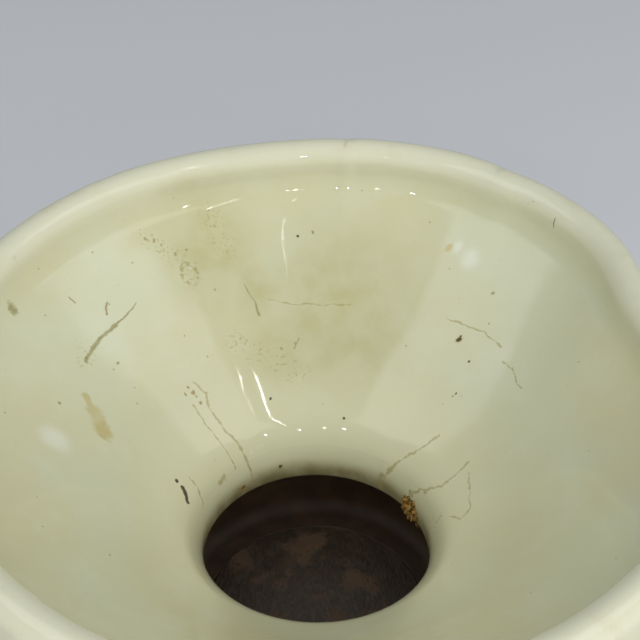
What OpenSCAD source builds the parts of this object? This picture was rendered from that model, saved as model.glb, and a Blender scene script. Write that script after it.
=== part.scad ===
// Conical Buchner funnel that comes apart on the bench: a wide stoneware bowl stands on a
// stoneware filter body with a long stem, a loose sieve plate lies on a ledge inside the body,
// and a bored rubber stopper round the stem seats in the neck of a filter flask.
// Everything is turned about Z. The origin is where the stopper meets the flask's mouth.

/* [Bowl] */
// Outside diameter of the bowl's lip
rim_d = 250; // [240:1:262]
// Thickness of the upright lip round the rim
lip_t = 12; // [10:0.5:14]
// Height of the lip's straight inner face
lip_rise = 3; // [2:0.5:12]
// Slope of the bowl's wall above the horizontal, in degrees
bowl_slope = 36; // [32:1:42]
// Thickness of the bowl's wall
bowl_wall = 9; // [8:0.5:11]
// Diameter of the throat
throat_d = 74; // [70:1:78]
// Radius that rounds the wall over into the throat
throat_round = 22; // [16:1:26]
// Radius of the hollow where the wall meets the lip
shoulder_round = 10; // [4:1:14]
// Thickness of the spigot that hangs into the filter body
spigot_t = 10; // [8:0.5:11]
// Length of the spigot below the joint face
spigot_h = 12; // [9:0.5:16]

/* [Filter body] */
// Gap all round between the spigot and the filter chamber
spigot_gap = 1; // [0.5:0.5:2]
// Thickness of the chamber's wall
body_wall = 9; // [7:0.5:11]
// Diameter of the collars on both sides of the joint
collar_d = 128; // [125:1:136]
// Height of the collar at the top of the chamber
collar_h = 13.5; // [10:0.5:15]
// Clear height between the chamber's floor and the spigot
chamber_gap = 25; // [23:1:40]
// Diameter of the flat foot that stands on the stopper
foot_d = 40; // [36:1:46]
// Height of the foot
foot_h = 4; // [3:0.5:6]

/* [Sieve plate and paper] */
// Gap all round between the sieve plate and the throat that it is dropped through
plate_play = 0.5; // [0.3:0.1:1]
// Thickness of the sieve plate
plate_t = 6; // [5:0.5:7]
// Width of the ledge that carries the plate
ledge_w = 5.5; // [4.5:0.5:6]
// Diameter of one hole in the plate
hole_d = 2.4; // [1.6:0.1:2.6]
// Distance between neighbouring holes
hole_pitch = 5.8; // [5:0.1:5.9]
// Number of rings of holes round the middle one
hole_rings = 5; // [3:1:5]
// Thickness of the wet filter paper
paper_t = 0.5; // [0.4:0.1:1]

/* [Seals] */
// Thickness of the rubber ring between bowl and body
joint_ring_t = 3; // [2:0.5:4]
// Thickness of the rubber ring under the plate
plate_ring_t = 1.5; // [1:0.5:2]

/* [Stem and stopper] */
// Outside diameter of the stem below the stopper
stem_d = 22; // [20:0.5:23]
// Outside diameter of the stem where the stopper grips it
grip_d = 24; // [24:0.5:26]
// Diameter of the drain bore
bore_d = 14; // [12:0.5:15]
// Depth of the stem's tip below the flask's mouth
stem_reach = 95; // [80:1:120]
// Diameter of the stopper's top face
stopper_top_d = 56; // [54:1:60]
// Diameter of the stopper's lower face
stopper_low_d = 49; // [47:1:52]
// Height of the stopper above the flask's mouth
stopper_up = 10; // [8:1:12]
// Depth of the stopper below the flask's mouth
stopper_down = 15; // [12:1:18]

/* [Hidden] */
$fn = 96;

cream_glaze = "#d6d3b6";
body_glaze = "#cfcbb0";
biscuit = "#a89a80";
stained_paper = "#7a6242";
red_rubber = "#8a4a34";
black_rubber = "#3a3836";

arc_steps = 12;        // straight steps that draw one rounded stretch of an outline
edge_steps = 4;        // the same on a small rounded edge
edge_round = 2;        // radius on the outer edges of the stoneware
throat_flat = 3;       // straight wall between the throat's rounding and the spigot's edge
stopper_play = 0.05;   // radial gap between the stopper's bore and the stem
recess_play = 0.7;     // radial gap between the sieve plate and its recess
paper_inset = 0.2;     // how far the paper's edge stays inside the plate's
joint_ring_in = 1;     // how far the joint ring stays clear of the chamber's mouth
joint_ring_out = 1.5;  // how far it stays inside the collars' edge
plate_ring_in = 0.5;   // how far the plate's ring stays clear of the ledge's inner edge
plate_ring_out = 0.2;  // how far it stands past the plate's edge
floor_round = 5;       // radius between the chamber's wall and its floor
hip_round = 12;        // radius between the body's cone and its wall
stem_step = 3;         // height of the taper from the stopper's grip to the stem
drain_step = 4;        // height of the drain cone above the start of the outer cone
stopper_edge = 1.5;    // radius on the stopper's edges
plate_bevel = 0.8;     // bevel round the sieve plate's upper edge
body_cone_slope = 45;
tip_slant = 45;

chamber_r = throat_d / 2 + spigot_t + spigot_gap;
plate_d = throat_d - 2 * plate_play;
ledge_r = plate_d / 2 - ledge_w;

// Heights, from the foot of the body up to the bowl's joint face.
foot_z = stopper_up;
cone_z = foot_z + foot_h;
drain_cone_z = cone_z + drain_step;
ledge_z = drain_cone_z + (ledge_r - bore_d / 2) * tan(body_cone_slope);
plate_z = ledge_z + plate_ring_t;
floor_z = plate_z + plate_t;
joint_z = floor_z + chamber_gap + spigot_h;
body_top_z = joint_z - joint_ring_t;

// Points along an arc of radius r round c, from angle a to angle b.
function arc(c, r, a, b, n = arc_steps) =
    [for (i = [0 : n]) let (t = a + (b - a) * i / n) c + r * [cos(t), sin(t)]];

// The bowl's outline, drawn in radius and height above its joint face.
module bowl_outline() {
    lean = 90 - bowl_slope;
    lip_r = lip_t / 2;
    lip_x = rim_d / 2 - lip_r;
    spigot_in = [throat_d / 2 + edge_round, edge_round - spigot_h];
    spigot_out = [throat_d / 2 + spigot_t - edge_round, spigot_in.y];
    throat_c = [throat_d / 2 + throat_round, spigot_in.y + throat_flat];
    wall_low = throat_c + throat_round * [-cos(lean), sin(lean)];
    shoulder_x = rim_d / 2 - lip_t - shoulder_round;
    wall_top_x = shoulder_x + shoulder_round * cos(lean);
    wall_top_z = wall_low.y + (wall_top_x - wall_low.x) * tan(bowl_slope);
    shoulder_c = [shoulder_x, wall_top_z + shoulder_round * sin(lean)];
    bead_c = [lip_x, shoulder_c.y + lip_rise];

    // The outside of the cone runs bowl_wall away from the inside.
    outside_rise = (lip_r - bowl_wall + (lip_x - wall_top_x) * sin(bowl_slope)) / cos(bowl_slope);
    skirt_c = [lip_x, wall_top_z + outside_rise];
    skirt_end = skirt_c + lip_r * [cos(lean), -sin(lean)];
    collar_r = collar_d / 2;
    corner_z = skirt_end.y - (skirt_end.x - collar_r) * tan(bowl_slope);
    root_c = [collar_r + shoulder_round, corner_z - shoulder_round / tan((90 + bowl_slope) / 2)];

    polygon(concat(
        arc(spigot_in, edge_round, 180, 270, edge_steps),
        arc(spigot_out, edge_round, -90, 0, edge_steps),
        [[spigot_out.x + edge_round, 0]],
        arc([collar_r - edge_round, edge_round], edge_round, -90, 0, edge_steps),
        arc(root_c, shoulder_round, 180, 180 - lean),
        arc(skirt_c, lip_r, -lean, 0),
        arc(bead_c, lip_r, 0, 180),
        arc(shoulder_c, shoulder_round, 0, -lean),
        arc(throat_c, throat_round, 180 - lean, 180)
    ));
}

module bowl() {
    color(cream_glaze) translate([0, 0, joint_z]) rotate_extrude() bowl_outline();
}

// A flat rubber ring with half-round edges, drawn in radius and height.
module ring_outline(inside_r, outside_r, t) {
    translate([inside_r + t / 2, 0]) square([outside_r - inside_r - t, t]);
    translate([inside_r + t / 2, t / 2]) circle(d = t);
    translate([outside_r - t / 2, t / 2]) circle(d = t);
}

module joint_ring() {
    color(red_rubber) translate([0, 0, body_top_z]) rotate_extrude()
        ring_outline(chamber_r + joint_ring_in, collar_d / 2 - joint_ring_out, joint_ring_t);
}

// The filter body's outline: chamber, cones and stem in one piece of stoneware.
module filter_body_outline() {
    out_r = chamber_r + body_wall;
    collar_r = collar_d / 2;
    recess_r = plate_d / 2 + recess_play;
    under_collar_z = body_top_z - collar_h;
    // Where the outer cone would meet the chamber's outside wall if the corner were sharp.
    hip_z = cone_z + (out_r - foot_d / 2) * tan(body_cone_slope);
    hip_c = [out_r - hip_round, hip_z + hip_round * tan(body_cone_slope / 2)];

    polygon(concat(
        [
            [bore_d / 2, -stem_reach],
            [stem_d / 2, -stem_reach],
            [stem_d / 2, -stopper_down - stem_step],
            [grip_d / 2, -stopper_down],
            [grip_d / 2, foot_z],
        ],
        arc([foot_d / 2 - edge_round, foot_z + edge_round], edge_round, -90, 0, edge_steps),
        [[foot_d / 2, cone_z]],
        arc(hip_c, hip_round, -body_cone_slope, 0),
        [
            [out_r, under_collar_z - (collar_r - out_r)],
            [collar_r, under_collar_z],
        ],
        arc([collar_r - edge_round, body_top_z - edge_round], edge_round, 0, 90, edge_steps),
        [[chamber_r, body_top_z]],
        arc([chamber_r - floor_round, floor_z + floor_round], floor_round, 0, -90, arc_steps),
        [
            [recess_r, floor_z],
            [recess_r, ledge_z],
            [ledge_r, ledge_z],
            [bore_d / 2, drain_cone_z],
        ]
    ));
}

// The stem's tip is cut on the slant so that it drips from one point.
module tip_cut() {
    translate([stem_d / 2, 0, -stem_reach]) rotate([0, tip_slant, 0])
        translate([-3 * stem_d, -stem_d, -2 * stem_d]) cube([4 * stem_d, 2 * stem_d, 2 * stem_d]);
}

module filter_body() {
    color(body_glaze) difference() {
        rotate_extrude() filter_body_outline();
        tip_cut();
    }
}

module plate_ring() {
    color(red_rubber) translate([0, 0, ledge_z]) rotate_extrude()
        ring_outline(ledge_r + plate_ring_in, plate_d / 2 + plate_ring_out, plate_ring_t);
}

// Holes on a triangular grid, in hexagonal rings round the middle one.
module hole_grid() {
    for (row = [-hole_rings : hole_rings]) {
        in_row = 2 * hole_rings + 1 - abs(row);
        for (i = [0 : in_row - 1])
            translate([(i - (in_row - 1) / 2) * hole_pitch, row * hole_pitch * sin(60), 0])
                children();
    }
}

module sieve_plate() {
    color(biscuit) translate([0, 0, plate_z]) difference() {
        union() {
            cylinder(d = plate_d, h = plate_t - plate_bevel);
            translate([0, 0, plate_t - plate_bevel])
                cylinder(d1 = plate_d, d2 = plate_d - 2 * plate_bevel, h = plate_bevel);
        }
        hole_grid() translate([0, 0, -1]) cylinder(d = hole_d, h = plate_t + 2, $fn = 24);
    }
}

module filter_paper() {
    color(stained_paper) translate([0, 0, floor_z])
        cylinder(d = plate_d - 2 * paper_inset, h = paper_t);
}

module stopper_outline() {
    top_r = stopper_top_d / 2;
    low_r = stopper_low_d / 2;
    bore_r = grip_d / 2 + stopper_play;
    low_c = [low_r - stopper_edge, stopper_edge - stopper_down];
    top_c = [top_r - stopper_edge, stopper_up - stopper_edge];
    polygon(concat(
        [[bore_r, -stopper_down]],
        arc(low_c, stopper_edge, -90, 0, edge_steps),
        arc(top_c, stopper_edge, 0, 90, edge_steps),
        [[bore_r, stopper_up]]
    ));
}

module rubber_stopper() {
    color(black_rubber) rotate_extrude() stopper_outline();
}

bowl();
joint_ring();
filter_body();
plate_ring();
sieve_plate();
filter_paper();
rubber_stopper();
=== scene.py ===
import math

import bmesh
import bpy
import numpy as np
from mathutils import Matrix, Vector, geometry, noise


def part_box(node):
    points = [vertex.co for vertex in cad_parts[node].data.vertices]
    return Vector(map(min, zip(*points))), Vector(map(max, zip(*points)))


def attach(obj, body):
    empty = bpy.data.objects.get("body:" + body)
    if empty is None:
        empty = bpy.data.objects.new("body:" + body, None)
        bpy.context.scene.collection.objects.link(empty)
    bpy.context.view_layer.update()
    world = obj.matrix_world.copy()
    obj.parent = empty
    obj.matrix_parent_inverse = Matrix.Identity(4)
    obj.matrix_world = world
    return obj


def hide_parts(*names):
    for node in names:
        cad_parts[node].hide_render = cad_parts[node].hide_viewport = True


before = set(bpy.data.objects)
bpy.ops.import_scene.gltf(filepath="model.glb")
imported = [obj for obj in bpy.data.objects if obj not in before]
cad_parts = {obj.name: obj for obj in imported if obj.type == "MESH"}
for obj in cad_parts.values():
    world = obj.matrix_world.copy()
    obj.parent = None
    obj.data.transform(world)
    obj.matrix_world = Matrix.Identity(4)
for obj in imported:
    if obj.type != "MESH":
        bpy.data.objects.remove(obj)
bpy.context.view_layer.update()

MM = 0.001


def span(node):
    """A CAD node's lowest and highest corners, in millimetres."""
    low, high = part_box(node)
    return Vector(low) / MM, Vector(high) / MM


bowl_low, bowl_high = span("bowl")
body_low, body_high = span("filter_body")
joint_low, joint_high = span("joint_ring")
ring_low, ring_high = span("plate_ring")
plate_low, plate_high = span("sieve_plate")
paper_high = span("filter_paper")[1]
stopper_low, stopper_high = span("rubber_stopper")

RIM_R = bowl_high.x
RIM_TOP = bowl_high.z
JOINT_Z = joint_high.z
SPIGOT_END = bowl_low.z
BODY_TOP = joint_low.z
COLLAR_R = body_high.x
PLATE_R = plate_high.x
PLATE_Z = plate_low.z
FLOOR_Z = plate_high.z
LEDGE_Z = ring_low.z
STEM_TIP = body_low.z

LIP_T = 12
BOWL_SLOPE = 36
BOWL_WALL = 9
THROAT_R = 37
THROAT_ROUND = 22
THROAT_TOP = SPIGOT_END + 13
SHOULDER_ROUND = 10
SPIGOT_T = 10
LIP_RISE = 3
EDGE = 2


# ---------------------------------------------------------------- camera and stage

PALE_FLOOR = (0.62, 0.63, 0.65)
ROOM_LIGHT = (0.94, 0.97, 1.0)
COOL = (0.93, 0.97, 1.0)
LAMP_RISE = 1000
PANEL_DEPTH = 1150
PANEL_GLOW = 0.31
WINDOW_HALF = 30
WINDOW_DEPTH = 55
WINDOW_GLOW = 120


def aim_camera():
    """The camera stands in front of the bowl and looks down into it."""
    place = Vector((0.4, -351, RIM_TOP + 314)) * MM
    pitch = math.radians(40.2)
    roll = math.radians(0.6)
    ahead = Vector((0, math.cos(pitch), -math.sin(pitch)))
    right = Vector((1, 0, 0))
    up = right.cross(ahead)
    across = right * math.cos(roll) + up * math.sin(roll)
    upward = up * math.cos(roll) - right * math.sin(roll)
    turn = Matrix((across, upward, -ahead)).transposed()
    data = bpy.data.cameras.new("camera")
    data.sensor_width = 36
    data.lens = 89.8
    camera = bpy.data.objects.new("camera", data)
    camera.matrix_world = Matrix.Translation(place) @ turn.to_4x4()
    bpy.context.scene.collection.objects.link(camera)
    bpy.context.scene.camera = camera


def area_light(name, place, turn, size, radiance, colour=(1, 1, 1)):
    """A rectangular light at place, in mm, turned by a 3x3 matrix, with the given radiance."""
    data = bpy.data.lights.new(name, "AREA")
    data.shape = "RECTANGLE"
    data.size = size[0] * MM
    data.size_y = size[1] * MM
    data.energy = radiance * math.pi * data.size * data.size_y
    data.color = colour
    lamp = bpy.data.objects.new(name, data)
    lamp.matrix_world = Matrix.Translation(Vector(place) * MM) @ turn.to_4x4()
    bpy.context.scene.collection.objects.link(lamp)
    return lamp


def soft_box(name, place, target, size, radiance, colour=(1, 1, 1)):
    """A lit panel at place that faces target; size is its width and height in mm."""
    facing = (Vector(target) - Vector(place)).to_track_quat("-Z", "Y").to_matrix()
    return area_light(name, place, facing, size, radiance, colour)


def strip_lamp(name, start, end, width, radiance):
    """A narrow lamp from start to end that shines straight down."""
    start, end = Vector(start), Vector(end)
    along = (end - start).normalized()
    upward = Vector((0, 0, 1))
    turn = Matrix((along.cross(upward), along, upward)).transposed()
    area_light(name, (start + end) / 2, turn, (width, (end - start).length), radiance)


def lay_floor():
    """A plain pale floor at the height of the stem's tip."""
    half = 4.0
    level = STEM_TIP * MM
    mesh = bpy.data.meshes.new("floor")
    corners = [(-half, -half), (half, -half), (half, half), (-half, half)]
    mesh.from_pydata([(x, y, level) for x, y in corners], [], [(0, 1, 2, 3)])
    paint = bpy.data.materials.new("floor_paint")
    paint.use_nodes = True
    shader = paint.node_tree.nodes["Principled BSDF"]
    shader.inputs["Base Color"].default_value = (*PALE_FLOOR, 1)
    shader.inputs["Roughness"].default_value = 0.7
    mesh.materials.append(paint)
    floor = bpy.data.objects.new("floor", mesh)
    bpy.context.scene.collection.objects.link(floor)


def light_room():
    """A pale room, soft boxes that only light, panels that also show in the glaze, and lamps."""
    world = bpy.data.worlds.new("room")
    world.use_nodes = True
    sky = world.node_tree.nodes["Background"]
    sky.inputs["Color"].default_value = (*ROOM_LIGHT, 1)
    sky.inputs["Strength"].default_value = 0.43
    bpy.context.scene.world = world
    bpy.context.scene.view_settings.view_transform = "Standard"
    centre = Vector((0, 0, RIM_TOP))
    up = RIM_TOP + LAMP_RISE
    unseen = [
        soft_box("front_box", (400, -1600, RIM_TOP + 950), centre, (2000, 1300), 1.95),
        soft_box("low_box", (150, -1700, RIM_TOP + 60), centre, (2600, 420), 1.85),
        soft_box("side_box", (1700, -300, RIM_TOP + 550), centre, (1300, 900), 1.2),
    ]
    for lamp in unseen:
        lamp.visible_glossy = False
    # Panels of falling size, one above the other, make one panel with a soft edge.
    for step in range(4):
        share = 1.04 - 0.05 * step
        for name, x, y, width in (("left", -800, -150, 820), ("right", 960, -250, 780)):
            place = (x, y, up + 10 * step)
            below = (x, y, 0)
            size = (width * share, PANEL_DEPTH * share)
            soft_box(name + "_panel", place, below, size, PANEL_GLOW, COOL)
    strip_lamp("spot_lamp", (139.5, -305, up), (140.5, -315, up), 2.5, 14)
    strip_lamp("tube_lamp", (424, -322, up), (526, -1002, up), 4, 110)
    strip_lamp("short_lamp", (517, -260, up), (559, -268, up), 2.5, 60)
    # Small windows far off show as sparks on the lip and on the curve below it.
    for index, (x, y) in enumerate([(418, -1570), (-146, -1467), (-535, -1300), (1141, -1185)]):
        start = (x - WINDOW_HALF, y, up)
        end = (x + WINDOW_HALF, y, up)
        strip_lamp(f"window_{index}", start, end, WINDOW_DEPTH, WINDOW_GLOW)


# ---------------------------------------------------------------- outlines and meshes

def arc(centre, radius, start, end, steps=16):
    """Points on an arc round centre, from angle start to angle end, in degrees."""
    angles = np.radians(np.linspace(start, end, steps + 1))
    return [(centre[0] + radius * math.cos(a), centre[1] + radius * math.sin(a)) for a in angles]


def tag(points, start, end=None):
    """The same points with a mark each: 0 outside, 1 inside, or a run from start to end."""
    marks = np.linspace(start, start if end is None else end, len(points))
    return [(x, z, mark) for (x, z), mark in zip(points, marks)]


def resample(outline, step):
    """The same closed outline with points no further apart than step."""
    points = []
    for a, b in zip(outline, outline[1:] + outline[:1]):
        parts = max(1, math.ceil(math.dist(a[:2], b[:2]) / step))
        points += [np.array(a) + (np.array(b) - np.array(a)) * i / parts for i in range(parts)]
    return np.array(points)


def smooth(value, low, high):
    """0 below low, 1 above high and a smooth rise between."""
    t = np.clip((value - low) / (high - low), 0, 1)
    return t * t * (3 - 2 * t)


def bell(value, centre, width):
    """A bell of height 1 round centre."""
    return np.exp(-0.5 * ((value - centre) / width) ** 2)


SHARP_ANGLE = 40


def add_piece(name, mesh, material, body, node=None):
    """Puts a finished mesh in the scene on its body, in place of the CAD node it stands for."""
    mesh.materials.append(material)
    mesh.polygons.foreach_set("use_smooth", [True] * len(mesh.polygons))
    mesh.set_sharp_from_angle(angle=math.radians(SHARP_ANGLE))
    piece = bpy.data.objects.new(name, mesh)
    bpy.context.scene.collection.objects.link(piece)
    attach(piece, body)
    if node:
        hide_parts(node)
    return piece


def revolve(name, outline, segments, warp=None):
    """Turns a closed outline of (radius, height, mark) points about Z into a mesh.

    warp(radius, height, angle) returns the moved radius and height. The marks go into the
    mesh attribute inside, which the glazes read."""
    angle = np.linspace(0, 2 * math.pi, segments, endpoint=False)[:, None]
    count = len(outline)
    r = np.broadcast_to(outline[:, 0], (segments, count))
    z = np.broadcast_to(outline[:, 1], (segments, count))
    side = np.broadcast_to(outline[:, 2], (segments, count))
    if warp:
        r, z = warp(r, z, angle)
    points = np.stack([r * np.cos(angle), r * np.sin(angle), z + 0 * angle], axis=-1) * MM
    faces = []
    for i in range(segments):
        this = i * count
        after = (i + 1) % segments * count
        for j in range(count):
            k = (j + 1) % count
            faces.append((this + j, after + j, after + k, this + k))
    mesh = bpy.data.meshes.new(name)
    mesh.from_pydata(points.reshape(-1, 3).tolist(), [], faces)
    mark = mesh.attributes.new("inside", "FLOAT", "POINT")
    mark.data.foreach_set("value", side.reshape(-1).astype(np.float32))
    return mesh


def roughen(mesh, size, height, weight=None):
    """Moves points along their normals by smooth noise of the given grain size, in mm."""
    moved = []
    for vertex in mesh.vertices:
        amount = height * MM * (weight(vertex.co / MM) if weight else 1)
        moved.append(vertex.co + vertex.normal * amount * noise.noise(vertex.co / (size * MM)))
    for vertex, place in zip(mesh.vertices, moved):
        vertex.co = place


# ---------------------------------------------------------------- shader writing

class Graph:
    """Writes the nodes of one material. A value is a number, a tuple or a node's output."""

    def __init__(self, name):
        self.material = bpy.data.materials.new(name)
        self.material.use_nodes = True
        self.nodes = self.material.node_tree.nodes
        self.shader = self.nodes["Principled BSDF"]
        metres = self.nodes.new("ShaderNodeTexCoord").outputs["Object"]
        self.place = self.vector("MULTIPLY", metres, (1 / MM, 1 / MM, 1 / MM))
        self.plan = self.vector("MULTIPLY", self.place, (1, 1, 0))
        self.radius = self.vector("LENGTH", self.plan)
        parts = self.nodes.new("ShaderNodeSeparateXYZ")
        self.join(self.place, parts.inputs[0])
        self.height = parts.outputs["Z"]

    def join(self, value, socket):
        """Links a node's output to the socket, or sets the socket to a number or a tuple."""
        if isinstance(value, bpy.types.NodeSocket):
            self.material.node_tree.links.new(value, socket)
        elif socket.type == "RGBA":
            socket.default_value = (*value, 1)
        else:
            socket.default_value = value

    def math(self, kind, *values, clamp=False):
        """The output of a Math node of the given kind."""
        node = self.nodes.new("ShaderNodeMath")
        node.operation = kind
        node.use_clamp = clamp
        for value, socket in zip(values, node.inputs):
            self.join(value, socket)
        return node.outputs[0]

    def vector(self, kind, *values):
        """The output of a Vector Math node of the given kind, a vector or a plain number."""
        node = self.nodes.new("ShaderNodeVectorMath")
        node.operation = kind
        for value, socket in zip(values, node.inputs):
            self.join(value, socket)
        plain = kind in ("DOT_PRODUCT", "DISTANCE", "LENGTH")
        return node.outputs["Value" if plain else "Vector"]

    def stretch(self, vector, factor):
        """A vector times a number."""
        node = self.nodes.new("ShaderNodeVectorMath")
        node.operation = "SCALE"
        self.join(vector, node.inputs[0])
        self.join(factor, node.inputs["Scale"])
        return node.outputs["Vector"]

    def attribute(self, name):
        """The value of a mesh attribute."""
        node = self.nodes.new("ShaderNodeAttribute")
        node.attribute_name = name
        return node.outputs["Fac"]

    def noise(self, size, detail=3, where=None, output="Fac"):
        """Noise whose largest grain is about size millimetres across."""
        node = self.nodes.new("ShaderNodeTexNoise")
        self.join(where or self.place, node.inputs["Vector"])
        node.inputs["Scale"].default_value = 1 / size
        node.inputs["Detail"].default_value = detail
        return node.outputs[output]

    def specks(self, size, share, radius, where=None):
        """1 in small round specks, one in a share of the cells of the given size."""
        node = self.nodes.new("ShaderNodeTexVoronoi")
        self.join(where or self.place, node.inputs["Vector"])
        node.inputs["Scale"].default_value = 1 / size
        parts = self.nodes.new("ShaderNodeSeparateColor")
        self.join(node.outputs["Color"], parts.inputs[0])
        chosen = self.math("LESS_THAN", parts.outputs["Red"], share)
        large = self.math("MULTIPLY", parts.outputs["Green"], radius / size)
        dot = self.math("LESS_THAN", node.outputs["Distance"], large)
        return self.math("MULTIPLY", chosen, dot)

    def band(self, value, low, high):
        """A smooth rise from 0 at low to 1 at high, or a fall where low is above high."""
        node = self.nodes.new("ShaderNodeMapRange")
        node.interpolation_type = "SMOOTHSTEP"
        for item, socket in zip((value, low, high), node.inputs):
            self.join(item, socket)
        return node.outputs["Result"]

    def scale(self, value, low, high):
        """A number from low to high as value goes from 0 to 1."""
        return self.math("MULTIPLY_ADD", value, high - low, low)

    def both(self, *values):
        """The product of several masks."""
        product = values[0]
        for value in values[1:]:
            product = self.math("MULTIPLY", product, value)
        return product

    def mix(self, factor, first, second):
        """The first colour at factor 0, the second at 1."""
        node = self.nodes.new("ShaderNodeMix")
        node.data_type = "RGBA"
        for value, index in zip((factor, first, second), (0, 6, 7)):
            self.join(value, node.inputs[index])
        return node.outputs[2]

    def bump(self, height, distance, strength=1.0):
        """Gives the surface a relief of the given height map, distance in mm."""
        node = self.nodes.new("ShaderNodeBump")
        self.join(height, node.inputs["Height"])
        node.inputs["Distance"].default_value = distance * MM
        node.inputs["Strength"].default_value = strength
        self.join(node.outputs["Normal"], self.shader.inputs["Normal"])

    def segment(self, where, start, end):
        """Distance from where to the straight line from start to end, in plan."""
        start, end = Vector((*start, 0)), Vector((*end, 0))
        run = end - start
        unit = run / run.length_squared
        along = self.vector("DOT_PRODUCT", where, tuple(unit))
        part = self.math("SUBTRACT", along, start.dot(unit), clamp=True)
        offset = self.vector("SUBTRACT", where, tuple(start))
        return self.vector("DISTANCE", offset, self.stretch(tuple(run), part))

    def strokes(self, where, lines):
        """The least distance to any of the lines, each a width and its points, in widths."""
        least = None
        for width, points in lines:
            for start, end in zip(points, points[1:]):
                away = self.math("DIVIDE", self.segment(where, start, end), width)
                least = away if least is None else self.math("MINIMUM", least, away)
        return least

    def dots(self, where, spots):
        """The least distance to any spot (x, y, radius), in radii."""
        least = None
        for x, y, radius in spots:
            away = self.vector("DISTANCE", where, (x, y, 0))
            away = self.math("DIVIDE", away, radius)
            least = away if least is None else self.math("MINIMUM", least, away)
        return least

    def finish(self, colour, roughness):
        """Gives the shader its colour and roughness, and returns the material."""
        self.join(colour, self.shader.inputs["Base Color"])
        self.join(roughness, self.shader.inputs["Roughness"])
        return self.material


# ---------------------------------------------------------------- glazes

CREAM = (0.585, 0.59, 0.40)
CREAM_WARM = (0.59, 0.565, 0.35)
CREAM_PALE = (0.62, 0.635, 0.47)
EDGE_PALE_AND_LIT = (0.65, 0.64, 0.485)
# Lighter cream painted as light on the wall just above the throat.
PAINTED_LIGHT_CREAM = (0.69, 0.665, 0.44)
STAIN = (0.50, 0.44, 0.24)
STAIN_WASH = (0.50, 0.465, 0.25)
# Dark painted as shade low on the throat's wall.
PAINTED_SHADE_DARK = (0.15, 0.125, 0.045)
TAN = (0.49, 0.41, 0.18)
OLIVE = (0.25, 0.215, 0.055)
HAIRLINE = (0.37, 0.32, 0.12)
RUST = (0.27, 0.165, 0.035)
SOOT = (0.05, 0.035, 0.015)
ORANGE = (0.50, 0.37, 0.10)
CHALK = (0.74, 0.75, 0.64)
CHIP = (0.42, 0.43, 0.33)
BISCUIT = (0.42, 0.34, 0.22)
BISCUIT_DARK = (0.20, 0.14, 0.075)
BISCUIT_PALE = (0.50, 0.43, 0.30)
BROWN_GLAZE = (0.026, 0.013, 0.006)
BROWN_POOL = (0.055, 0.028, 0.011)
PAPER = (0.028, 0.019, 0.012)
PAPER_FIBRE = (0.05, 0.033, 0.018)
SEDIMENT = (0.10, 0.055, 0.026)
PAPER_FLECK = (0.012, 0.009, 0.007)
CRUST_DARK = (0.09, 0.05, 0.008)
CRUST_BROWN = (0.38, 0.21, 0.04)
CRUST_PALE = (0.66, 0.50, 0.22)
RED_RUBBER = (0.20, 0.06, 0.03)
RED_DUST = (0.42, 0.27, 0.18)
WET_RUBBER = (0.11, 0.035, 0.02)
WET_DUST = (0.22, 0.13, 0.08)
BLACK_RUBBER = (0.022, 0.021, 0.020)
BLACK_DUST = (0.13, 0.125, 0.115)

# Marks on the bowl's inside and lip, in plan millimetres. A line is a width and its points; a
# dot, patch or chip is x, y and a radius.
HAIR_CRACKS = [
    (0.42, [(-42, 47), (-38, 45), (-37, 41), (-31, 35.5), (-26, 32.5), (-22.5, 30)]),
    (0.28, [(-42, 39.5), (-37, 35), (-31, 30), (-27.5, 27.5)]),
    (0.26, [(-42, 15.5), (-39, 14), (-37.5, 9.5)]),
    (0.35, [(-31, 23.5), (-32.5, 20.5)]),
    (0.38, [(21, 30), (27, 29), (34, 29.5), (41, 31.5)]),
    (0.42, [(31, 21), (36, 16.5), (41, 14), (45.5, 15.5), (49.5, 18)]),
    (0.34, [(49.5, 14), (49, 7), (49, 0), (46, -3), (42.5, 1)]),
    (0.34, [(40, 4), (39, 3.5)]),
    (0.30, [(44, 67), (49, 64.5), (56, 59), (61.5, 52)]),
    (0.26, [(61.5, 47), (64, 43), (66.5, 34.5)]),
    (0.20, [(-17.5, 77), (-10, 76.5), (11, 76.5)]),
]
OLIVE_CRACKS = [
    (0.25, [(-62, 64.5), (-65.5, 58), (-69, 54)]),
    (0.58, [(-68, 55), (-72.5, 48), (-75.5, 41.5), (-76, 38.5)]),
    (0.22, [(-26, 80.5), (-22, 75)]),
    (0.4, [(-22, 75), (-20.5, 72)]),
    (0.22, [(-6.5, 66.5), (-8.5, 63.5)]),
]
OLIVE_DOTS = [
    (-99, 44.5, 1.6), (-66.5, 43, 0.4), (-67.5, 40.5, 0.35), (-59.5, 32.5, 0.35), (-57, 86, 0.5),
    (-60, 85.5, 0.5), (-54.5, 85.5, 0.45), (-50, 83.5, 0.5), (-36, 76.5, 0.4), (-37.5, 56.5, 0.3),
    (-8, 65, 0.5), (45, 42.5, 0.5), (-82, 19.5, 0.6), (-46, 60, 0.3), (30, 62, 0.3),
    (-13, 63.5, 0.5), (59, 71, 0.5),
]
RUST_LINES = [
    (0.38, [(-71, 61), (-71, 57)]),
    (0.28, [(-82.5, 57), (-81, 56.5)]),
]
RUST_DOTS = [
    (-42, 44, 0.75), (-44, 45, 0.5), (-39.5, 41.5, 0.55), (-44.5, 42, 0.45), (-41, 43, 0.4),
    (-2.5, 97.5, 0.5), (-76, 40, 0.5), (-98.5, 54.5, 0.9), (-46, 86, 0.4),
]
PINHOLES = [
    (-7.5, 96, 0.45), (48, 59.5, 0.85), (51, 51.5, 0.45), (46, 43, 0.4), (-16, 48.5, 0.5),
    (9, 44, 0.45), (79, 80, 0.25), (-65, 94.5, 0.35), (-45.5, 12, 0.75), (48.5, 60.5, 0.4),
]
SOOT_LINES = [(0.6, [(-43.7, 10.5), (-42.3, 8), (-41.8, 6.5)])]
TAN_PATCH = [(1.1, [(-75, 27), (-73, 24)]), (2.7, [(-72, 22.5), (-68.5, 17)])]
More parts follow.
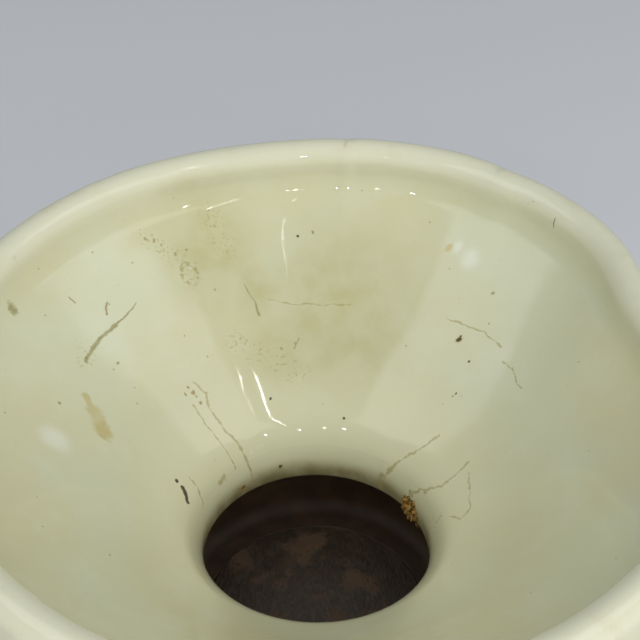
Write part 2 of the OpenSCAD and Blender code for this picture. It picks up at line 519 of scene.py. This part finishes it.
BLUSHES = [(-38, 88, 20), (-22, 79, 12), (-45, 78, 12), (-12, 62, 14), (6, 74, 34)]
SPECK_LINES = [
    (3.5, [(-61, 86), (-50, 83)]),
    (4.0, [(-30, 63), (-6, 57)]),
    (3.0, [(-76, 42), (-76.5, 38)]),
    (3.5, [(-45, 82), (-44, 77)]),
    (5.0, [(-38, 97), (-33, 90)]),
]
CRUMB_RING = (-44.8, 79.5)
CRUMB_RING_R = 2.9
HALOS = [(48, 59.5, 1.5), (45, 89.5, 1.6)]
CHALK_DOTS = [(-82, 5, 5.5), (48, 89, 2.4), (-44.5, 81.5, 0.7), (52, 84, 4)]
RIM_CHIPS = [(10.5, 120.5, 2.6), (6, 121.5, 1.6), (62, 103, 2.2), (-70, 98.5, 1.8)]
RIM_DRIPS = [(0.7, [(9, 118), (8.5, 115.5)])]


def wobble(graph, amount, size):
    """The plan place, moved about by noise, so that lines drawn on it waver."""
    shift = graph.noise(size, 3, output="Color")
    half = amount / 2
    shift = graph.vector("MULTIPLY_ADD", shift, (amount, amount, 0), (-half, -half, 0))
    return graph.vector("ADD", graph.plan, shift)


def add_marks(graph, colour, inside):
    """Cracks, pinholes, crumbs, stains, and painted light and shade by the throat; returns the new
    colour and a mask of the dull marks.
    """
    where = wobble(graph, 2.2, 4.5)
    broken = graph.noise(2.0, 2)
    grain = graph.noise(0.7, 2)

    blush = graph.band(graph.dots(graph.plan, BLUSHES), 1.25, 0.1)
    cloud = graph.band(graph.noise(9, 5), 0.35, 0.7)
    blush = graph.both(blush, graph.scale(cloud, 0.5, 1.0), inside)
    colour = graph.mix(blush, colour, STAIN_WASH)

    # Painted light: a lighter band of cream on the wall just above the throat.
    thick = graph.both(graph.band(graph.height, THROAT_TOP + 24, THROAT_TOP + 10), inside)
    colour = graph.mix(graph.both(thick, 0.5), colour, PAINTED_LIGHT_CREAM)
    # Painted shade: the glaze darkens towards the bottom of the throat, darkest on the throat's own
    # wall.
    painted_throat_shade = graph.both(graph.band(graph.height, THROAT_TOP - 1, THROAT_TOP - 9), inside)
    colour = graph.mix(graph.both(painted_throat_shade, graph.scale(cloud, 0.4, 0.9)), colour, STAIN)
    near = graph.band(graph.radius, THROAT_R + 3, THROAT_R + 2)
    deep_throat_shade = graph.both(graph.band(graph.height, THROAT_TOP - 3, THROAT_TOP - 11), near)
    colour = graph.mix(graph.both(deep_throat_shade, graph.scale(cloud, 0.6, 0.85)), colour, PAINTED_SHADE_DARK)

    chalk = graph.band(graph.dots(where, CHALK_DOTS), 1.2, 0.2)
    colour = graph.mix(graph.both(chalk, inside, 0.55), colour, CHALK)

    chip = graph.band(graph.dots(where, RIM_CHIPS), 1.3, 0.3)
    colour = graph.mix(graph.both(chip, graph.scale(broken, 0.1, 0.6)), colour, CHIP)
    drip = graph.band(graph.strokes(where, RIM_DRIPS), 1.6, 0.3)
    colour = graph.mix(graph.both(drip, graph.scale(broken, 0.1, 0.6)), colour, ORANGE)

    tan = graph.math("ADD", graph.strokes(where, TAN_PATCH), graph.scale(broken, -0.5, 0.5))
    tan = graph.band(tan, 1.35, 0.5)
    colour = graph.mix(graph.both(tan, inside, graph.scale(cloud, 0.5, 0.95)), colour, TAN)

    hair = graph.math("ADD", graph.strokes(where, HAIR_CRACKS), graph.scale(broken, -1.6, 1.6))
    hair = graph.band(hair, 1.3, 0.2)
    colour = graph.mix(graph.both(hair, inside, 0.7), colour, HAIRLINE)

    olive = graph.math("MINIMUM", graph.strokes(where, OLIVE_CRACKS), graph.dots(where, OLIVE_DOTS))
    olive = graph.band(graph.math("ADD", olive, graph.scale(grain, -0.7, 0.7)), 1.3, 0.6)
    colour = graph.mix(graph.both(olive, inside, graph.scale(broken, 0.4, 1.0)), colour, OLIVE)

    ring = graph.vector("DISTANCE", where, (*CRUMB_RING, 0))
    ring = graph.band(graph.math("ABSOLUTE", graph.math("SUBTRACT", ring, CRUMB_RING_R)), 1.1, 0.3)
    crumbs = graph.both(ring, graph.band(graph.noise(1.4, 2), 0.46, 0.54))
    region = graph.band(graph.strokes(graph.plan, SPECK_LINES), 1.3, 0.3)
    dusty = graph.both(region, graph.band(graph.noise(1.1, 3), 0.57, 0.66))
    crumbs = graph.math("MAXIMUM", crumbs, graph.both(dusty, 0.7))
    colour = graph.mix(graph.both(crumbs, inside, 0.8), colour, HAIRLINE)

    rust = graph.math("MINIMUM", graph.strokes(where, RUST_LINES), graph.dots(where, RUST_DOTS))
    rust = graph.band(graph.math("ADD", rust, graph.scale(grain, -0.5, 0.5)), 1.3, 0.6)
    colour = graph.mix(graph.both(rust, inside, 0.75), colour, RUST)

    halo = graph.band(graph.dots(where, HALOS), 1.2, 0.4)
    colour = graph.mix(graph.both(halo, inside, 0.6), colour, ORANGE)

    soot = graph.math("MINIMUM", graph.dots(where, PINHOLES), graph.strokes(where, SOOT_LINES))
    soot = graph.band(graph.math("ADD", soot, graph.scale(grain, -0.3, 0.3)), 1.2, 0.7)
    colour = graph.mix(graph.both(soot, inside, 0.95), colour, SOOT)

    dull = graph.math("ADD", graph.math("MAXIMUM", olive, soot), graph.both(hair, 0.5))
    return colour, graph.both(dull, inside)


def stoneware(name, bare, marked=False, dark_inside=False):
    """Cream glaze over stoneware; bare(graph) is the mask of the faces left without glaze."""
    graph = Graph(name)
    inside = graph.attribute("inside")
    outside = graph.math("SUBTRACT", 1.0, inside)
    drift = graph.band(graph.noise(55, 3), 0.38, 0.62)
    colour = graph.mix(drift, CREAM, CREAM_WARM)
    cloud = graph.band(graph.noise(14, 4), 0.45, 0.7)
    colour = graph.mix(graph.both(cloud, 0.4), colour, CREAM_PALE)

    # Paler towards the rim: partly thinner glaze at the edge, partly painted light on the rim's
    # top.
    edge = graph.band(graph.height, RIM_TOP - 16, RIM_TOP - 3)
    colour = graph.mix(graph.both(edge, graph.scale(cloud, 0.85, 0.6)), colour, EDGE_PALE_AND_LIT)

    # Glaze runs and kiln dust show more on the outside.
    tall = graph.vector("MULTIPLY", graph.place, (1, 1, 0.16))
    runs = graph.band(graph.noise(9, 4, tall), 0.52, 0.72)
    colour = graph.mix(graph.both(runs, outside, 0.35), colour, STAIN)
    specks = graph.math("MAXIMUM", graph.specks(7, 0.28, 0.55), graph.specks(3.2, 0.1, 0.4))
    colour = graph.mix(graph.both(specks, 0.55), colour, OLIVE)
    faint = graph.band(graph.noise(1.6, 3), 0.66, 0.74)
    colour = graph.mix(graph.both(faint, 0.22), colour, STAIN)

    depth = graph.both(specks, 0.6)
    dull = depth
    if marked:
        colour, dull = add_marks(graph, colour, graph.band(inside, 0.75, 0.95))
    gloss = graph.scale(graph.noise(12, 3), 0.01, 0.06)
    if dark_inside:
        pool = graph.band(graph.noise(8, 4), 0.35, 0.7)
        brown = graph.mix(graph.both(pool, 0.6), BROWN_GLAZE, BROWN_POOL)
        colour = graph.mix(graph.band(inside, 0.3, 0.7), colour, brown)
        gloss = graph.scale(inside, 0.06, 0.7)

    unglazed = bare(graph)
    grit = graph.noise(0.9, 4)
    clay = graph.mix(graph.band(graph.noise(5, 4), 0.35, 0.7), BISCUIT, BISCUIT_DARK)
    colour = graph.mix(unglazed, colour, clay)
    rough = graph.math("ADD", gloss, graph.both(dull, 0.45))
    rough = graph.math("ADD", rough, graph.both(unglazed, 0.75), clamp=True)

    peel = graph.both(graph.noise(7, 2), 0.06)
    relief = graph.math("SUBTRACT", peel, graph.both(depth, 0.1))
    relief = graph.math("ADD", relief, graph.both(grit, unglazed))
    graph.bump(relief, 0.25, 0.6)
    return graph.finish(colour, rough)


def bowl_bare(graph):
    """No glaze on the joint face or on the spigot's outside and end."""
    low = graph.band(graph.height, JOINT_Z + 2.2, JOINT_Z + 1)
    return graph.both(low, graph.band(graph.radius, THROAT_R + 1.6, THROAT_R + 2.4))


def body_bare(graph):
    """No glaze on the joint face, nor under the foot."""
    top = graph.band(graph.height, BODY_TOP - 1.8, BODY_TOP - 0.8)
    top = graph.both(top, graph.band(graph.radius, CHAMBER_R + 0.6, CHAMBER_R + 1.4))
    foot = graph.band(graph.height, FOOT_Z + 1.6, FOOT_Z + 0.8)
    foot = graph.both(foot, graph.band(graph.height, FOOT_Z - 0.8, FOOT_Z - 0.4))
    foot = graph.both(foot, graph.band(graph.radius, GRIP_R + 0.5, GRIP_R + 1.5))
    return graph.math("MAXIMUM", top, foot)


# ---------------------------------------------------------------- other materials

def biscuit(name):
    """Porous unglazed stoneware, stained by what ran through it."""
    graph = Graph(name)
    stain = graph.band(graph.noise(16, 5), 0.35, 0.68)
    colour = graph.mix(stain, BISCUIT, BISCUIT_DARK)
    pores = graph.specks(1.5, 0.5, 0.42)
    colour = graph.mix(graph.both(pores, 0.7), colour, SOOT)
    pale = graph.band(graph.noise(4, 3), 0.55, 0.75)
    colour = graph.mix(graph.both(pale, 0.4), colour, BISCUIT_PALE)
    relief = graph.math("SUBTRACT", graph.noise(0.8, 4), graph.both(pores, 0.6))
    graph.bump(relief, 0.2, 0.7)
    return graph.finish(colour, graph.scale(graph.noise(3, 3), 0.7, 0.95))


def wet_paper(name):
    """Filter paper soaked dark brown, with lighter sediment left in islands."""
    graph = Graph(name)
    fibre = graph.noise(0.8, 5, graph.vector("MULTIPLY", graph.place, (1, 0.35, 1)))
    colour = graph.mix(graph.band(fibre, 0.35, 0.7), PAPER, PAPER_FIBRE)
    islands = graph.band(graph.noise(17, 5), 0.5, 0.62)
    colour = graph.mix(graph.both(islands, 0.75), colour, SEDIMENT)
    flecks = graph.band(graph.noise(2.4, 4), 0.62, 0.7)
    colour = graph.mix(graph.both(flecks, 0.6), colour, PAPER_FLECK)
    graph.bump(graph.math("ADD", fibre, graph.both(islands, 0.8)), 0.3, 0.8)
    return graph.finish(colour, graph.scale(islands, 0.45, 0.9))


def rubber(name, colour, dust, size):
    """Moulded rubber with scuffs, pits and a dusty bloom in patches of the given size, in mm."""
    graph = Graph(name)
    bloom = graph.band(graph.noise(size, 5), 0.42, 0.75)
    shade = graph.mix(graph.both(bloom, 0.55), colour, dust)
    scuffs = graph.noise(1.2, 4, graph.vector("MULTIPLY", graph.place, (1, 1, 0.2)))
    scuffs = graph.band(scuffs, 0.6, 0.72)
    shade = graph.mix(graph.both(scuffs, 0.35), shade, dust)
    pits = graph.specks(2.4, 0.3, 0.4)
    relief = graph.math("SUBTRACT", graph.noise(1.6, 3), graph.both(pits, 0.7))
    graph.bump(relief, 0.15, 0.6)
    return graph.finish(shade, graph.scale(bloom, 0.42, 0.75))


def crust(name):
    """Dried residue: crumbly, brown and orange."""
    graph = Graph(name)
    crumbs = graph.band(graph.noise(1.3, 4), 0.38, 0.62)
    colour = graph.mix(crumbs, CRUST_DARK, CRUST_BROWN)
    pale = graph.band(graph.noise(0.6, 3), 0.6, 0.72)
    colour = graph.mix(graph.both(pale, 0.8), colour, CRUST_PALE)
    graph.bump(graph.noise(0.7, 4), 0.35, 0.9)
    return graph.finish(colour, graph.scale(crumbs, 0.7, 0.95))


# ---------------------------------------------------------------- bowl

def bowl_outline():
    """The bowl's section: spigot, joint face, skirt, lip, shoulder, conical wall and throat."""
    lean = 90 - BOWL_SLOPE
    slope = math.tan(math.radians(BOWL_SLOPE))
    across = math.sin(math.radians(lean))
    along = math.cos(math.radians(lean))
    lip_r = LIP_T / 2
    lip_x = RIM_R - lip_r
    bead = (lip_x, RIM_TOP - lip_r)
    shoulder = (RIM_R - LIP_T - SHOULDER_ROUND, bead[1] - LIP_RISE)
    wall_top = (shoulder[0] + SHOULDER_ROUND * along, shoulder[1] - SHOULDER_ROUND * across)
    throat = (THROAT_R + THROAT_ROUND, SPIGOT_END + EDGE + 3)
    rise = (lip_r - BOWL_WALL + (lip_x - wall_top[0]) * along) / across
    skirt = (lip_x, wall_top[1] + rise)
    skirt_end = (skirt[0] + lip_r * along, skirt[1] - lip_r * across)
    corner = skirt_end[1] - (skirt_end[0] - COLLAR_R) * slope
    drop = SHOULDER_ROUND / math.tan(math.radians((90 + BOWL_SLOPE) / 2))
    root = (COLLAR_R + SHOULDER_ROUND, corner - drop)
    spigot_r = THROAT_R + SPIGOT_T
    outside = (
        arc((spigot_r - EDGE, SPIGOT_END + EDGE), EDGE, -90, 0, 6)
        + [(spigot_r, JOINT_Z)]
        + arc((COLLAR_R - EDGE, JOINT_Z + EDGE), EDGE, -90, 0, 6)
        + arc(root, SHOULDER_ROUND, 180, 180 - lean, 10)
        + arc(skirt, lip_r, -lean, 0, 10)
    )
    inside = (
        arc(shoulder, SHOULDER_ROUND, 0, -lean, 14)
        + arc(throat, THROAT_ROUND, 180 - lean, 180, 22)
    )
    return (
        tag(arc((THROAT_R + EDGE, SPIGOT_END + EDGE), EDGE, 180, 270, 6), 1, 0)
        + tag(outside, 0)
        + tag(arc(bead, lip_r, 0, 180, 24), 0, 1)
        + tag(inside, 1)
    )


PINCH_TURN = 18


def lip_offset(degrees):
    """How far the hand-made lip stands out from a true circle, in mm, round the bowl."""
    swell = 3.6 * bell(degrees, 65, 13)
    pinch = 9.5 * bell(degrees, PINCH_TURN, np.where(degrees > PINCH_TURN, 10.5, 24))
    chips = 0.8 * bell(degrees, 58, 2.5) + 0.5 * bell(degrees, 85.5, 0.9)
    waves = 0.35 * np.cos(np.radians(degrees * 5 + 40)) + 0.2 * np.cos(np.radians(degrees * 9))
    return swell - pinch - chips + waves - 1.9


def warp_bowl(r, z, angle):
    """Unevenness of a hand-finished casting: none at the joint and the throat, most at the lip."""
    degrees = np.degrees((angle + math.pi / 2) % (2 * math.pi) - math.pi / 2)
    rise = smooth(z, JOINT_Z + 16, RIM_TOP - 10)
    offset = lip_offset(degrees) * rise ** 1.3
    waver = (np.sin(angle * 7 + z * 0.11) * 0.18 + np.sin(angle * 12 - z * 0.16 + 2) * 0.1
             + np.sin(angle * 4 + 1 + z * 0.05) * 0.25)
    height = rise * (0.5 * np.cos(angle * 3 + 0.6) + 0.25 * np.cos(angle * 7 + 2) - 0.4)
    return r + offset + waver * rise, z + height - 0.3 * rise * waver


def bowl_loose(place):
    """How free a point of the bowl is to be uneven: not at all at the joint and the throat."""
    radius = math.hypot(place.x, place.y)
    return min(1, max(0, (place.z - JOINT_Z - 4) / 12)) * min(1, max(0, (radius - THROAT_R) / 12))


def lip_loose(place):
    """1 on the lip, 0 below it."""
    return min(1, max(0, (place.z - RIM_TOP + 13) / 4))


def make_bowl():
    """The upper bowl, uneven as a hand-finished casting is."""
    outline = resample(bowl_outline(), 2.5)
    mesh = revolve("bowl_stoneware", outline, 480, warp_bowl)
    roughen(mesh, 34, 0.16, bowl_loose)
    roughen(mesh, 11, 0.03, bowl_loose)
    roughen(mesh, 9, 0.12, lip_loose)
    material = stoneware("cream_glaze", bowl_bare, marked=True)
    add_piece("bowl_stoneware", mesh, material, "upper_bowl", "bowl")


CRUST_TURN = 31
CRUST_Z = RIM_TOP - 81
# Each lump: degrees round from the middle of the crust, height above it in mm, and size in mm.
CRUST_LUMPS = [
    (-0.5, -0.6, 3.4), (3.0, 0.6, 2.4), (-3.6, -1.6, 2.2), (5.2, 1.6, 1.1), (1.2, -3.4, 1.4),
    (-6.2, -2.8, 0.8), (-1.4, 2.2, 1.4), (-6.0, -4.6, 1.0),
]
# Each loose crumb: degrees round the throat, height and size.
CRUMB_SPOTS = [(133, 0.5, 1.0), (135.5, 1.2, 0.5), (110, 3.0, 0.7), (60, 1, 0.4), (118, 1.5, 0.35)]


def make_crust():
    """A lump of dried residue with crumbs round it, stuck to the edge of the throat."""
    cluster = bmesh.new()
    lumps = CRUST_LUMPS + [(turn - CRUST_TURN, rise, size) for turn, rise, size in CRUMB_SPOTS]
    for turn, rise, size in lumps:
        made = bmesh.ops.create_icosphere(cluster, subdivisions=4, radius=size)
        angle = math.radians(CRUST_TURN + turn)
        out = Vector((math.cos(angle), math.sin(angle), 0))
        side = Vector((-out.y, out.x, 0))
        middle = out * (THROAT_R + 0.35) + Vector((0, 0, CRUST_Z + rise))
        for vertex in made["verts"]:
            flat = out * vertex.co.x * 0.7 + side * vertex.co.y + Vector((0, 0, vertex.co.z * 1.1))
            coarse = 0.55 * noise.noise(flat * 0.7 + middle)
            fine = 0.3 * noise.noise(flat * 2 + middle)
            vertex.co = (middle + flat * (1 + coarse + fine)) * MM
    mesh = bpy.data.meshes.new("dried_crust")
    cluster.to_mesh(mesh)
    cluster.free()
    add_piece("dried_crust", mesh, crust("dried_crust"), "upper_bowl")


# ---------------------------------------------------------------- filter body

CHAMBER_R = THROAT_R + SPIGOT_T + 1
BODY_WALL = 9
RECESS_R = PLATE_R + 0.7
LEDGE_R = PLATE_R - 5.5
BORE_R = 7
DRAIN_Z = LEDGE_Z - (LEDGE_R - BORE_R)
STEM_R = 11
GRIP_R = 12
FOOT_R = 20
FOOT_Z = stopper_high.z
CONE_Z = FOOT_Z + 4
COLLAR_H = 13.5
GRIP_END = stopper_low.z
FLOOR_ROUND = 5
HIP_ROUND = 12
SOFT = 1


def body_outline():
    """The body's section: stem, foot, cone, hip, collar, chamber, ledge, drain cone and bore."""
    out_r = CHAMBER_R + BODY_WALL
    under_collar = BODY_TOP - COLLAR_H
    hip_z = CONE_Z + out_r - FOOT_R
    hip = (out_r - HIP_ROUND, hip_z + HIP_ROUND * math.tan(math.radians(22.5)))
    outside = (
        arc((STEM_R - SOFT, STEM_TIP + SOFT), SOFT, -90, 0, 4)
        + [(STEM_R, GRIP_END - 4), (STEM_R + 0.3, GRIP_END - 3), (GRIP_R - 0.1, GRIP_END - 0.4)]
        + [(GRIP_R, GRIP_END), (GRIP_R, FOOT_Z)]
        + arc((FOOT_R - EDGE, FOOT_Z + EDGE), EDGE, -90, 0, 6)
        + [(FOOT_R, CONE_Z - 0.6), (FOOT_R + 0.3, CONE_Z + 0.4)]
        + arc(hip, HIP_ROUND, -45, 0, 12)
        + [(out_r, under_collar - (COLLAR_R - out_r) - 0.6)]
        + [(out_r + 0.4, under_collar - (COLLAR_R - out_r) + 0.4)]
        + [(COLLAR_R - 0.5, under_collar - 0.5), (COLLAR_R, under_collar + 0.6)]
        + arc((COLLAR_R - EDGE, BODY_TOP - EDGE), EDGE, 0, 90, 6)
        + [(CHAMBER_R + SOFT, BODY_TOP)]
    )
    inside = (
        arc((CHAMBER_R + SOFT, BODY_TOP - SOFT), SOFT, 90, 180, 4)
        + arc((CHAMBER_R - FLOOR_ROUND, FLOOR_Z + FLOOR_ROUND), FLOOR_ROUND, 0, -90, 10)
        + [(RECESS_R + 0.5, FLOOR_Z), (RECESS_R, FLOOR_Z - 0.5)]
        + [(RECESS_R, LEDGE_Z + 0.4), (RECESS_R - 0.4, LEDGE_Z), (LEDGE_R + 0.3, LEDGE_Z)]
        + [(LEDGE_R - 0.5, LEDGE_Z - 0.7), (BORE_R + 1, DRAIN_Z + 0.6), (BORE_R, DRAIN_Z - 1)]
    )
    tip = arc((BORE_R + SOFT, STEM_TIP + SOFT), SOFT, 180, 270, 4)
    return tag(outside, 0) + tag(inside, 1) + tag(tip, 1, 0)


def warp_body(r, z, angle):
    """Slants the stem's tip at 45 degrees, and lets the glazed outside wander a little."""
    start = STEM_TIP + 36
    share = np.clip((start - z) / (start - STEM_TIP), 0, 1)
    lift = (STEM_R - r * np.cos(angle)) * share
    loose = smooth(r, GRIP_R + 2, FOOT_R + 12) * smooth(-z, -BODY_TOP, -BODY_TOP + 8)
    loose = loose * (r > CHAMBER_R - 30) * (z < BODY_TOP - 1)
    waver = 0.22 * np.sin(angle * 3 + z * 0.09) + 0.12 * np.sin(angle * 8 - z * 0.2)
    return r + (waver - 0.3) * loose, z + lift


def make_body():
    """The filter body and stem, cream outside and brown inside."""
    mesh = revolve("body_stoneware", resample(body_outline(), 2.5), 240, warp_body)
    material = stoneware("body_glaze", body_bare, dark_inside=True)
    add_piece("body_stoneware", mesh, material, "body", "filter_body")


# ---------------------------------------------------------------- rings, plate, paper, stopper

def ring_outline(inside_r, outside_r, low, high):
    """A flat ring with half-round edges."""
    half = (high - low) / 2
    middle = low + half
    return tag(
        arc((inside_r + half, middle), half, 90, 270, 10)
        + arc((outside_r - half, middle), half, -90, 90, 10), 0
    )


def warp_ring(r, z, angle):
    """A pressed rubber ring keeps its thickness but not a true circle."""
    wave = 0.16 * np.sin(angle * 5 + 1) + 0.09 * np.sin(angle * 11)
    nick = 0.5 * bell(np.degrees(angle) % 90, 37, 3)
    return r + np.where(r > r.mean(), wave - 0.25 - nick, -wave * 0.5), z + 0 * angle


def make_rings():
    """The seal between the bowl and the body, and the seal under the plate."""
    joint_in = CHAMBER_R + 1
    outline = resample(ring_outline(joint_in, joint_high.x, BODY_TOP, JOINT_Z), 1.2)
    mesh = revolve("joint_ring_rubber", outline, 240, warp_ring)
    red = rubber("red_rubber", RED_RUBBER, RED_DUST, 14)
    add_piece("joint_ring_rubber", mesh, red, "body", "joint_ring")

    outline = resample(ring_outline(LEDGE_R + 0.5, ring_high.x, LEDGE_Z, PLATE_Z), 0.8)
    mesh = revolve("plate_ring_rubber", outline, 180, warp_ring)
    wet = rubber("plate_rubber", WET_RUBBER, WET_DUST, 6)
    add_piece("plate_ring_rubber", mesh, wet, "body", "plate_ring")


HOLE_R = 1.2
HOLE_PITCH = 5.8
HOLE_RINGS = 5
HOLE_SIDES = 20


def hole_centres():
    """The middles of the plate's holes, on a triangular grid inside a hexagon."""
    centres = []
    for row in range(-HOLE_RINGS, HOLE_RINGS + 1):
        in_row = 2 * HOLE_RINGS + 1 - abs(row)
        for i in range(in_row):
            x = (i - (in_row - 1) / 2) * HOLE_PITCH
            centres.append(Vector((x, row * HOLE_PITCH * math.sin(math.radians(60)))))
    return centres


def circle(centre, radius, sides):
    """Points round a circle in plan."""
    points = []
    for i in range(sides):
        turn = 2 * math.pi * i / sides
        x = centre.x + radius * math.cos(turn)
        y = centre.y + radius * math.sin(turn)
        points.append(Vector((x, y)))
    return points


def bridge(mesh, loops):
    """Faces between neighbouring loops of the same number of corners."""
    for upper, lower in zip(loops, loops[1:]):
        for i in range(len(upper)):
            k = (i + 1) % len(upper)
            mesh.faces.new((upper[i], upper[k], lower[k], lower[i]))


def make_plate():
    """The drilled plate: each face is cut round the holes, and walls join the two faces."""
    centres = hole_centres()
    sides, bevel, mouth = 120, 0.8, 0.3
    middle = Vector((0, 0))
    low, high = PLATE_Z, FLOOR_Z
    foot = 0.5
    top_rim, bottom_rim = (PLATE_R - bevel, high), (PLATE_R - foot, low)
    rims = [top_rim, (PLATE_R, high - bevel), (PLATE_R, low + foot), bottom_rim]
    flat = [circle(c, HOLE_R + mouth, HOLE_SIDES) for c in centres]
    plate = bmesh.new()

    def loop(points, height):
        """New corners of the plate at the points, all at one height."""
        return [plate.verts.new((p.x * MM, p.y * MM, height * MM)) for p in points]

    outer = [loop(circle(middle, r, sides), z) for r, z in rims]
    tops = [loop(points, high) for points in flat]
    bottoms = [loop(points, low) for points in flat]
    bridge(plate, outer)
    for centre, top, bottom in zip(centres, tops, bottoms):
        throat = circle(centre, HOLE_R, HOLE_SIDES)
        bridge(plate, [bottom, loop(throat, low + mouth), loop(throat, high - mouth), top])
    faced = [(outer[0], top_rim, tops, True), (outer[-1], bottom_rim, bottoms, False)]
    for rim, (edge_r, _), holes, upward in faced:
        corners = list(rim) + [v for hole in holes for v in hole]
        places = circle(middle, edge_r, sides) + [p for points in flat for p in points]
        lines = []
        start = 0
        for count in [sides] + [HOLE_SIDES] * len(centres):
            lines += [(start + i, start + (i + 1) % count) for i in range(count)]
            start += count
        faces = geometry.delaunay_2d_cdt(places, lines, [], 0, 1e-6)[2]
        for face in faces:
            mean = sum((places[i] for i in face), Vector((0, 0))) / 3
            if min((mean - c).length for c in centres) > HOLE_R + mouth * 0.9:
                order = face if upward else list(reversed(face))
                plate.faces.new([corners[i] for i in order])
    bmesh.ops.recalc_face_normals(plate, faces=plate.faces)
    mesh = bpy.data.meshes.new("sieve_plate_stoneware")
    plate.to_mesh(mesh)
    plate.free()
    add_piece("sieve_plate_stoneware", mesh, biscuit("biscuit"), "plate", "sieve_plate")


def make_paper():
    """A wet disc that lies on the plate, cockled towards its edge."""
    radius, rings, segments = paper_high.x, 44, 160
    thick = 0.4
    sheet = bmesh.new()
    edges = []
    for level in (0, 1):
        rows = [[sheet.verts.new((0, 0, 0))]]
        for ring in range(1, rings + 1):
            r = radius * ring / rings
            rows.append([
                sheet.verts.new((r * math.cos(t), r * math.sin(t), 0))
                for t in (2 * math.pi * i / segments for i in range(segments))
            ])
        for row in rows:
            for vertex in row:
                place = vertex.co.copy()
                edge = (place.length / radius) ** 3
                cockle = abs(noise.noise(place / 9)) * 0.7 + 0.3 * abs(noise.noise(place / 3.5))
                lift = cockle * (0.25 + 0.75 * edge)
                vertex.co.z = FLOOR_Z + 0.05 + lift + level * thick
                vertex.co *= MM
        first = rows[1]
        for i in range(segments):
            k = (i + 1) % segments
            sheet.faces.new((rows[0][0], first[i], first[k]))
        bridge(sheet, rows[1:])
        edges.append(rows[-1])
    bridge(sheet, edges)
    bmesh.ops.recalc_face_normals(sheet, faces=sheet.faces)
    mesh = bpy.data.meshes.new("filter_paper_disc")
    sheet.to_mesh(mesh)
    sheet.free()
    material = wet_paper("wet_paper")
    add_piece("filter_paper_disc", mesh, material, "paper", "filter_paper")


SEAM_SHARE = 0.62


def stopper_outline():
    """The stopper's section: a cone with a round bore and a fine mould seam."""
    top_r, low_r = stopper_high.x, 24.5
    low, high = stopper_low.z, stopper_high.z
    bore = GRIP_R + 0.05
    edge = 1.5
    seam = low + (high - low) * SEAM_SHARE
    seam_r = low_r + (top_r - low_r) * SEAM_SHARE
    points = (
        [(bore + 0.6, low)]
        + arc((low_r - edge, low + edge), edge, -90, 0, 6)
        + [(seam_r - 0.05, seam - 0.5), (seam_r + 0.2, seam - 0.15), (seam_r + 0.2, seam + 0.15)]
        + [(seam_r + 0.05, seam + 0.5)]
        + arc((top_r - edge, high - edge), edge, 0, 90, 6)
        + [(bore + 0.6, high), (bore, high - 0.6), (bore, low + 0.6)]
    )
    return tag(points, 0)


def make_stopper():
    """The bored rubber stopper that seats in the flask."""
    mesh = revolve("stopper_rubber", resample(stopper_outline(), 1.2), 180)
    black = rubber("black_rubber", BLACK_RUBBER, BLACK_DUST, 11)
    add_piece("stopper_rubber", mesh, black, "stopper", "rubber_stopper")


# ---------------------------------------------------------------- run

aim_camera()
lay_floor()
light_room()
make_bowl()
make_crust()
make_body()
make_rings()
make_plate()
make_paper()
make_stopper()
